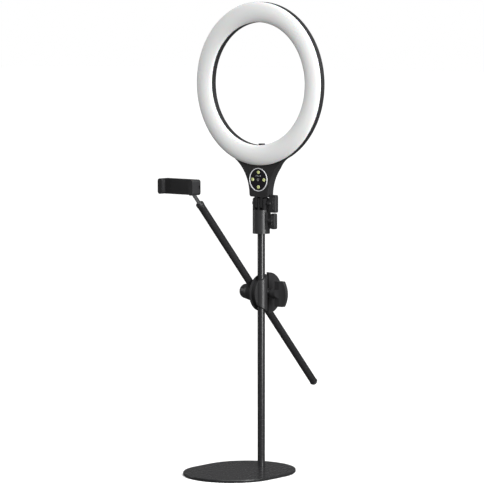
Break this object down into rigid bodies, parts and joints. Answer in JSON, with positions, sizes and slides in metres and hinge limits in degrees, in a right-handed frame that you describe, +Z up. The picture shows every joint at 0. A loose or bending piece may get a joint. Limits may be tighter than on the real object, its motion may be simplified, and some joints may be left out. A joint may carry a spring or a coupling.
{
  "type": "ring light",
  "caption": "Table-top ring light on a pole and flat base, with tilting head, push buttons, and a clamped side arm that carries a sprung phone holder.",
  "frame": {"origin": "on the floor under the pole axis", "axes": "+Z up along the pole, -Y towards the side the light shines to, +X to the knobs"},
  "size_m": [0.3, 0.3985, 0.8664],
  "materials": {
    "black_plastic": "satin moulded ABS",
    "painted_steel": "satin black powder coat",
    "zinc_steel": "bright zinc plated",
    "chrome_steel": "polished",
    "brass_insert": "turned",
    "foam_rubber": "matte foam",
    "grip_rubber": "matte",
    "opal": "opal diffuser",
    "board_white": "white solder mask",
    "board_green": "green solder mask",
    "led_yellow": "phosphor",
    "wire_red": "insulation",
    "silver_trim": "silver painted",
    "panel_gloss": "gloss black",
    "key_green": "pale translucent key",
    "key_black": "black key",
    "nylon": "natural nylon",
    "indicator": "clear lens"
  },
  "bodies": {
    "stand": {"base_pad": "foam_rubber", "base_plate": "painted_steel", "pole_screw": "zinc_steel", "pole": "painted_steel", "pole_foot_insert": "zinc_steel", "pole_top_plug": "black_plastic"},
    "collar": {"head_collar": "black_plastic", "collar_insert": "brass_insert", "pressure_pad": "nylon", "tilt_washers": "zinc_steel", "tilt_bolt": "zinc_steel"},
    "collar_knob": {"collar_knob": "black_plastic", "collar_screw": "zinc_steel"},
    "head": {"ring_back_shell": "black_plastic", "ring_front_shell": "black_plastic", "diffuser": "opal", "led_board": "board_white", "led_chips": "led_yellow", "control_board": "board_green", "led_wires": "wire_red", "panel_bezel": "silver_trim", "panel_face": "panel_gloss", "tact_switches": "zinc_steel", "indicator_leds": "indicator", "power_inlet": "black_plastic", "shell_screws": "zinc_steel", "accessory_boss": "black_plastic"},
    "key_brighter": {"button_brighter": "key_green"},
    "key_dimmer": {"button_dimmer": "key_green"},
    "key_warmer": {"button_warmer": "key_green"},
    "key_cooler": {"button_cooler": "key_green"},
    "key_power": {"button_power": "key_black"},
    "tilt_knob": {"tilt_knob": "black_plastic", "tilt_knob_nut": "brass_insert"},
    "clamp_sleeve": {"clamp_liner": "grip_rubber"},
    "clamp": {"clamp_jaw_left": "black_plastic", "clamp_jaw_right": "black_plastic", "clamp_bolt": "zinc_steel", "clamp_washer": "zinc_steel"},
    "arm_hub": {"arm_hub": "black_plastic"},
    "wing_knob": {"wing_knob": "black_plastic", "wing_knob_nut": "brass_insert"},
    "ribbed_knob": {"ribbed_knob": "black_plastic", "ribbed_knob_screw": "zinc_steel"},
    "arm": {"arm_tube": "painted_steel", "arm_tail_cap": "black_plastic", "arm_end_ring": "black_plastic"},
    "rod": {"arm_rod": "chrome_steel", "rod_guide": "nylon"},
    "socket": {"ball_socket": "black_plastic"},
    "holder": {"holder_body": "black_plastic", "fixed_jaw_pad": "grip_rubber"},
    "jaw": {"sliding_jaw": "black_plastic", "jaw_rods": "zinc_steel", "sliding_jaw_pad": "grip_rubber"}
  },
  "joints": [
    {"name": "head_swivel", "type": "hinge", "parent": "stand", "child": "collar", "pos_m": [0, 0, 0.462], "axis": [0, 0, 1], "continuous": true},
    {"name": "collar_knob_turn", "type": "hinge", "parent": "collar", "child": "collar_knob", "pos_m": [0.0223, 0, 0.4639], "axis": [1, 0, 0], "continuous": true},
    {"name": "head_tilt", "type": "hinge", "parent": "collar", "child": "head", "pos_m": [0, 0, 0.4962], "axis": [1, 0, 0], "range_deg": [-45, 75]},
    {"name": "tilt_knob_turn", "type": "hinge", "parent": "collar", "child": "tilt_knob", "pos_m": [0.0216, 0, 0.4962], "axis": [1, 0, 0], "continuous": true},
    {"name": "brighter_press", "type": "slide", "parent": "head", "child": "key_brighter", "axis": [0, 1, 0], "range_m": [0, 0.001], "stiffness_N_per_m": 600, "springref_m": -0.0005},
    {"name": "dimmer_press", "type": "slide", "parent": "head", "child": "key_dimmer", "axis": [0, 1, 0], "range_m": [0, 0.001], "stiffness_N_per_m": 600, "springref_m": -0.0005},
    {"name": "warmer_press", "type": "slide", "parent": "head", "child": "key_warmer", "axis": [0, 1, 0], "range_m": [0, 0.001], "stiffness_N_per_m": 600, "springref_m": -0.0005},
    {"name": "cooler_press", "type": "slide", "parent": "head", "child": "key_cooler", "axis": [0, 1, 0], "range_m": [0, 0.001], "stiffness_N_per_m": 600, "springref_m": -0.0005},
    {"name": "power_press", "type": "slide", "parent": "head", "child": "key_power", "axis": [0, 1, 0], "range_m": [0, 0.001], "stiffness_N_per_m": 600, "springref_m": -0.0005},
    {"name": "clamp_height", "type": "slide", "parent": "stand", "child": "clamp_sleeve", "axis": [0, 0, 1], "range_m": [-0.06, 0.07]},
    {"name": "clamp_swivel", "type": "hinge", "parent": "clamp_sleeve", "child": "clamp", "pos_m": [0, 0, 0.3284], "axis": [0, 0, 1], "continuous": true},
    {"name": "arm_pivot", "type": "hinge", "parent": "clamp", "child": "arm_hub", "pos_m": [-0.025, 0.0145, 0.3284], "axis": [1, 0, 0], "range_deg": [-10, 60]},
    {"name": "wing_knob_turn", "type": "hinge", "parent": "clamp", "child": "wing_knob", "pos_m": [0.017, 0.0145, 0.3284], "axis": [1, 0, 0], "continuous": true},
    {"name": "ribbed_knob_turn", "type": "hinge", "parent": "arm_hub", "child": "ribbed_knob", "pos_m": [-0.04, 0.0145, 0.3284], "axis": [1, 0, 0], "continuous": true},
    {"name": "arm_slide", "type": "slide", "parent": "arm_hub", "child": "arm", "axis": [0, -0.6717, 0.7408], "range_m": [-0.04, 0.18]},
    {"name": "rod_telescope", "type": "slide", "parent": "arm", "child": "rod", "axis": [0, -0.6717, 0.7408], "range_m": [-0.03, 0.07]},
    {"name": "holder_tilt", "type": "hinge", "parent": "rod", "child": "socket", "pos_m": [-0.025, -0.17291, 0.53508], "axis": [1, 0, 0], "range_deg": [-30, 30]},
    {"name": "holder_spin", "type": "hinge", "parent": "socket", "child": "holder", "pos_m": [-0.025, -0.18641, 0.53508], "axis": [0, 1, 0], "range_deg": [-90, 90]},
    {"name": "jaw_grip", "type": "slide", "parent": "holder", "child": "jaw", "axis": [-1, 0, 0], "range_m": [0, 0.02], "stiffness_N_per_m": 150, "springref_m": -0.012}
  ]
}
